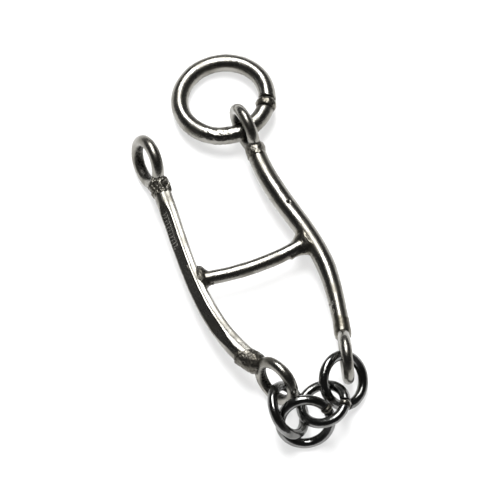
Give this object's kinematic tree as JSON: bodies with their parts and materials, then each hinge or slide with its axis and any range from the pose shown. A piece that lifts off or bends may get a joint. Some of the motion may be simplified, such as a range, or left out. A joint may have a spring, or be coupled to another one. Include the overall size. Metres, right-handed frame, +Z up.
{
  "type": "miniature curb bit charm",
  "caption": "Small silver curb bit: two bowed shanks joined by a bar, wire eyes at their ends, a short curb chain and a large hanging ring.",
  "frame": {"origin": "middle of the footprint, on the table the bit lies on", "axes": "+Y along the shanks towards the upper eyes, +X from the left shank to the right one, +Z up from the table"},
  "size_m": [0.017, 0.0392, 0.0053],
  "materials": {
    "silver": null,
    "oxidised_silver": "darkened silver wire with bright rubbed highlights",
    "solder": "lumpy silver solder with brown oxide in the pores"
  },
  "bodies": {
    "frame": {"shank_left": "silver", "shank_right": "silver", "mouthpiece": "silver", "mouthpiece_collar_left": "solder", "mouthpiece_fillet_right": "solder", "eye_upper_left": "silver", "eye_upper_right": "silver", "eye_lower_left": "silver", "eye_lower_right": "silver", "solder_upper_left": "solder", "solder_upper_right": "solder", "solder_lower_left": "solder", "solder_lower_right": "solder"},
    "hanging_ring_body": {"hanging_ring": "silver", "hanging_ring_solder": "solder"},
    "link_a_body": {"chain_link_a": "oxidised_silver"},
    "link_b_body": {"chain_link_b": "oxidised_silver", "chain_link_b_solder": "solder"},
    "link_c_body": {"chain_link_c": "oxidised_silver", "chain_link_c_solder": "solder"},
    "link_d_body": {"chain_link_d": "oxidised_silver", "chain_link_d_solder": "solder"}
  },
  "joints": [
    {"name": "ring_fold", "type": "hinge", "parent": "frame", "child": "hanging_ring_body", "pos_m": [0.00346, 0.01053, 0.00205], "axis": [0.9998, 0.0029, 0.0201], "range_deg": [-90, 150]},
    {"name": "chain_swing", "type": "hinge", "parent": "frame", "child": "link_d_body", "pos_m": [-0.00177, -0.01366, 0.00245], "axis": [0.9761, -0.197, -0.092], "range_deg": [-5, 30]},
    {"name": "link_a_swing", "type": "hinge", "parent": "frame", "child": "link_a_body", "pos_m": [-0.00177, -0.01366, 0.00245], "axis": [0.9761, -0.197, -0.092], "range_deg": [-5, 30]},
    {"name": "link_c_tilt", "type": "hinge", "parent": "link_d_body", "child": "link_c_body", "pos_m": [-0.0018, -0.01649, 0.00261], "axis": [0.1786, -0.7833, -0.5955], "range_deg": [-2, 0]},
    {"name": "link_b_tilt", "type": "hinge", "parent": "link_c_body", "child": "link_b_body", "pos_m": [-0.0045, -0.01728, 0.0025], "axis": [0.1294, -0.919, 0.3725], "range_deg": [-3, 8]}
  ],
  "couplings": [
    {"joint": "link_a_swing", "follows": "chain_swing", "ratio": 1}
  ]
}
